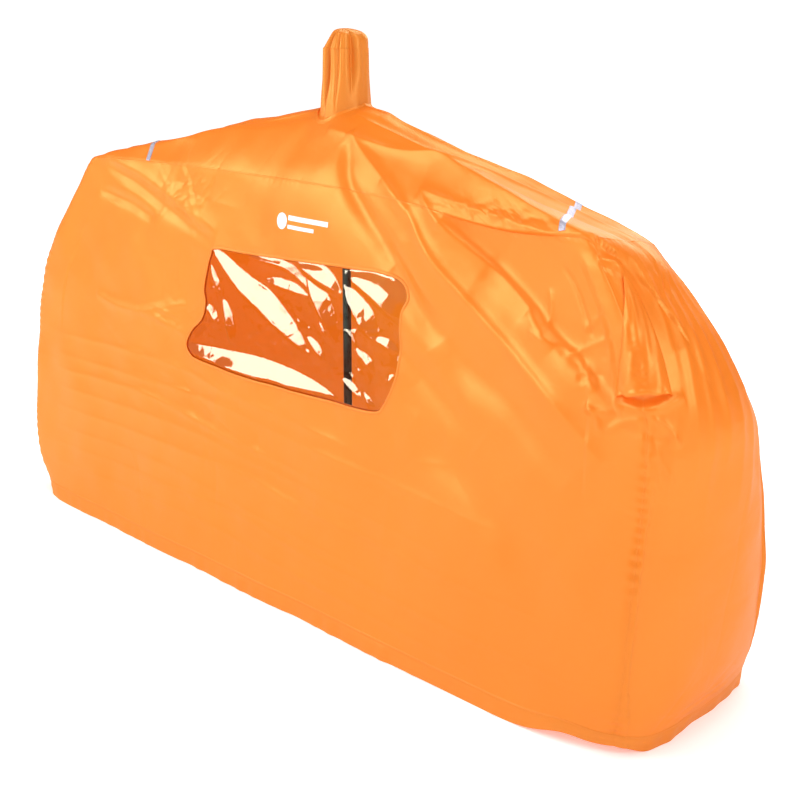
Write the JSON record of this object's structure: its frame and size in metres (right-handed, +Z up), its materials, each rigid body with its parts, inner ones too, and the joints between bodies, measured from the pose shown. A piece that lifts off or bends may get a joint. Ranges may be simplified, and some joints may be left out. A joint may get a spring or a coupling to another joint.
{
  "type": "group shelter",
  "caption": "Bottomless orange fabric group shelter standing over a telescopic pole, with a clear side window, a chimney vent and a hooded corner vent.",
  "frame": {"origin": "on the ground at the middle of the base, on the support pole's axis", "axes": "+X along the shelter's length towards the end with the hooded vent, -Y out of the window side, +Z up"},
  "size_m": [1.5638, 0.37, 0.905],
  "materials": {
    "shell_fabric": "coated ripstop nylon, satin sheen",
    "seam_tape": "sewn and taped seam",
    "hem_fabric": "folded coated nylon hem",
    "seat_fabric": "heavy coated nylon",
    "reflective_tape": "silver reflective tape",
    "clear_film": "clear flexible film",
    "white_print": "flat white print",
    "eyelet_metal": "rolled eyelet",
    "grip_foam": "moulded foam",
    "black_plastic": "moulded nylon",
    "lever_plastic": "moulded nylon",
    "pole_tube": "black anodised",
    "steel": "plain"
  },
  "bodies": {
    "shelter": {"front_panel": "shell_fabric", "back_panel": "shell_fabric", "right_end_panel": "shell_fabric", "left_end_panel": "shell_fabric", "roof_panel": "shell_fabric", "chimney_tube": "shell_fabric", "chimney_crown": "shell_fabric", "side_vent_hood": "shell_fabric", "front_right_corner_seam": "seam_tape", "front_left_corner_seam": "seam_tape", "back_right_corner_seam": "seam_tape", "back_left_corner_seam": "seam_tape", "front_eave_seam": "seam_tape", "back_eave_seam": "seam_tape", "right_shoulder_seam": "seam_tape", "left_shoulder_seam": "seam_tape", "chimney_seam": "seam_tape", "apex_patch": "seam_tape", "window_binding": "seam_tape", "front_hem_channel": "hem_fabric", "back_hem_channel": "hem_fabric", "right_hem_channel": "hem_fabric", "left_hem_channel": "hem_fabric", "right_reflective_strip": "reflective_tape", "left_reflective_strip": "reflective_tape", "window_film": "clear_film", "front_print": "white_print", "drawcord_eyelets": "eyelet_metal", "pole_grip": "grip_foam", "grip_cap": "black_plastic", "upper_tube": "pole_tube", "upper_lock_clamp": "black_plastic", "upper_lock_pin": "steel", "upper_lock_screw": "steel"},
    "upper_lever": {"upper_lock_lever": "lever_plastic"},
    "middle_section": {"middle_tube": "pole_tube", "middle_guide_bush": "black_plastic", "lower_lock_clamp": "black_plastic", "lower_lock_pin": "steel", "lower_lock_screw": "steel"},
    "lower_lever": {"lower_lock_lever": "lever_plastic"},
    "lower_section": {"lower_tube": "pole_tube", "lower_guide_bush": "black_plastic", "basket": "black_plastic", "tip_ferrule": "black_plastic", "ground_tip": "steel"},
    "right_seat": {"right_seat_panel": "seat_fabric"},
    "left_seat": {"left_seat_panel": "seat_fabric"}
  },
  "joints": [
    {"name": "upper_lever_swing", "type": "hinge", "parent": "shelter", "child": "upper_lever", "pos_m": [-0.015, 0, 0.565], "axis": [0, 0, -1], "range_deg": [0, 120]},
    {"name": "middle_slide", "type": "slide", "parent": "shelter", "child": "middle_section", "axis": [0, 0, 1], "range_m": [0, 0.18]},
    {"name": "lower_lever_swing", "type": "hinge", "parent": "middle_section", "child": "lower_lever", "pos_m": [-0.015, 0, 0.27], "axis": [0, 0, -1], "range_deg": [0, 120]},
    {"name": "lower_slide", "type": "slide", "parent": "middle_section", "child": "lower_section", "axis": [0, 0, 1], "range_m": [0, 0.16]},
    {"name": "right_seat_hinge", "type": "hinge", "parent": "shelter", "child": "right_seat", "pos_m": [0.68, 0, 0.001], "axis": [0, 1, 0], "range_deg": [0, 80]},
    {"name": "left_seat_hinge", "type": "hinge", "parent": "shelter", "child": "left_seat", "pos_m": [-0.68, 0, 0.001], "axis": [0, -1, 0], "range_deg": [0, 80]}
  ]
}
